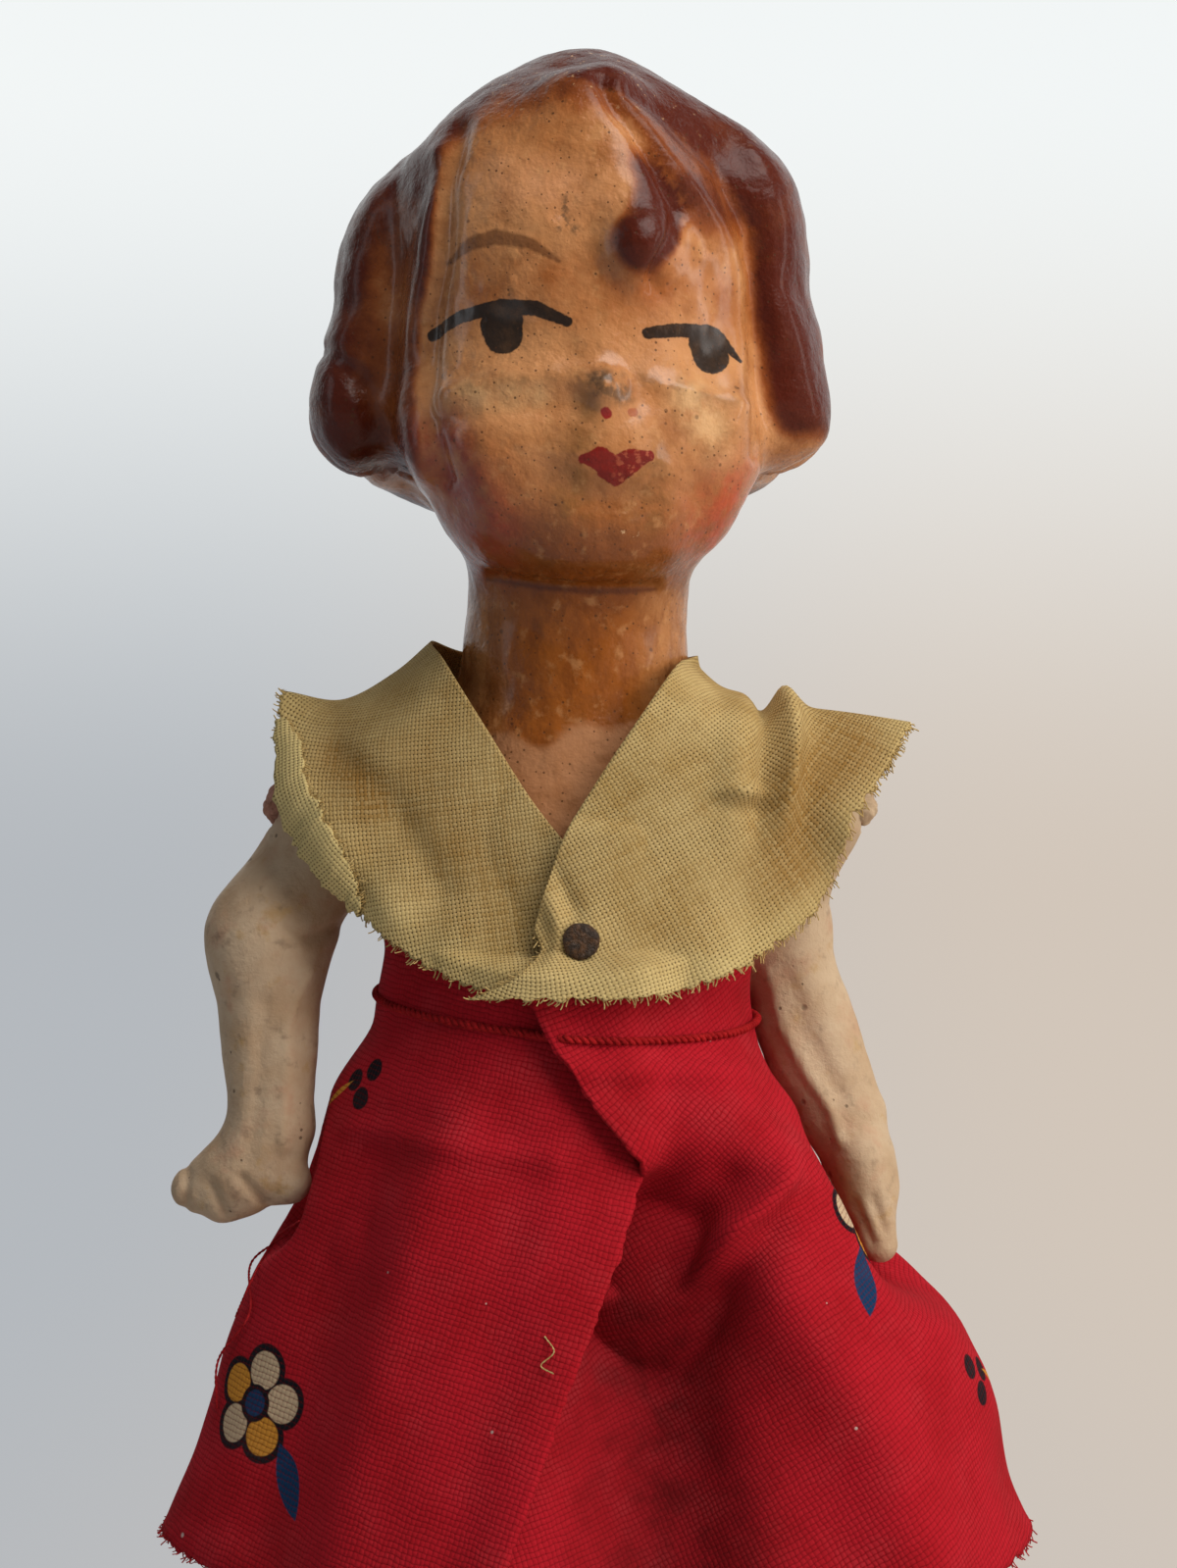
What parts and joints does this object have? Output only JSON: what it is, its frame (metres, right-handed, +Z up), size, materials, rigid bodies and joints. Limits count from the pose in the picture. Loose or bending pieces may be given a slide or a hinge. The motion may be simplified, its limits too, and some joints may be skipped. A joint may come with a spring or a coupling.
{
  "type": "jointed doll",
  "caption": "Standing pressed-composition doll with moulded bobbed hair, string-jointed arms and legs, a tacked muslin collar and a tied wrap skirt.",
  "frame": {"origin": "on the floor, below the middle of the doll's bounding box, between the feet", "axes": "+Z up along the standing doll, -Y the way its face and toes point, +X the doll's own left side"},
  "size_m": [0.1118, 0.0704, 0.3001],
  "materials": {
    "varnished_composition": "gloss",
    "chalky_composition": "matte",
    "string": "matte",
    "muslin": "matte",
    "rusted_iron": "matte",
    "printed_cotton": "matte",
    "red_cord": "matte"
  },
  "bodies": {
    "torso": {"body_front_shell": "varnished_composition", "body_back_shell": "varnished_composition", "arm_cord": "string", "leg_cord": "string", "collar_right": "muslin", "collar_left": "muslin", "collar_tack": "rusted_iron", "skirt_right": "printed_cotton", "skirt_left": "printed_cotton", "waist_cord": "red_cord", "waist_knot": "red_cord"},
    "right_arm": {"right_arm": "chalky_composition", "right_arm_knot": "string"},
    "left_arm": {"left_arm": "chalky_composition", "left_arm_knot": "string"},
    "right_leg": {"right_leg": "chalky_composition", "right_leg_knot": "string"},
    "left_leg": {"left_leg": "chalky_composition", "left_leg_knot": "string"}
  },
  "joints": [
    {"name": "right_shoulder", "type": "hinge", "parent": "torso", "child": "right_arm", "pos_m": [-0.03344, -0.00047, 0.2035], "axis": [-1, 0, 0], "range_deg": [-35, 100], "deforming": ["collar_right", "skirt_right"]},
    {"name": "left_shoulder", "type": "hinge", "parent": "torso", "child": "left_arm", "pos_m": [0.02656, -0.00047, 0.2035], "axis": [-1, 0, 0], "range_deg": [-35, 100], "deforming": ["collar_left", "skirt_left"]},
    {"name": "right_hip", "type": "hinge", "parent": "torso", "child": "right_leg", "pos_m": [-0.02144, -0.00047, 0.146], "axis": [-1, 0, 0], "range_deg": [-20, 90], "deforming": ["skirt_right", "skirt_left"]},
    {"name": "left_hip", "type": "hinge", "parent": "torso", "child": "left_leg", "pos_m": [0.01456, -0.00047, 0.146], "axis": [-1, 0, 0], "range_deg": [-20, 90], "deforming": ["skirt_right", "skirt_left"]}
  ]
}
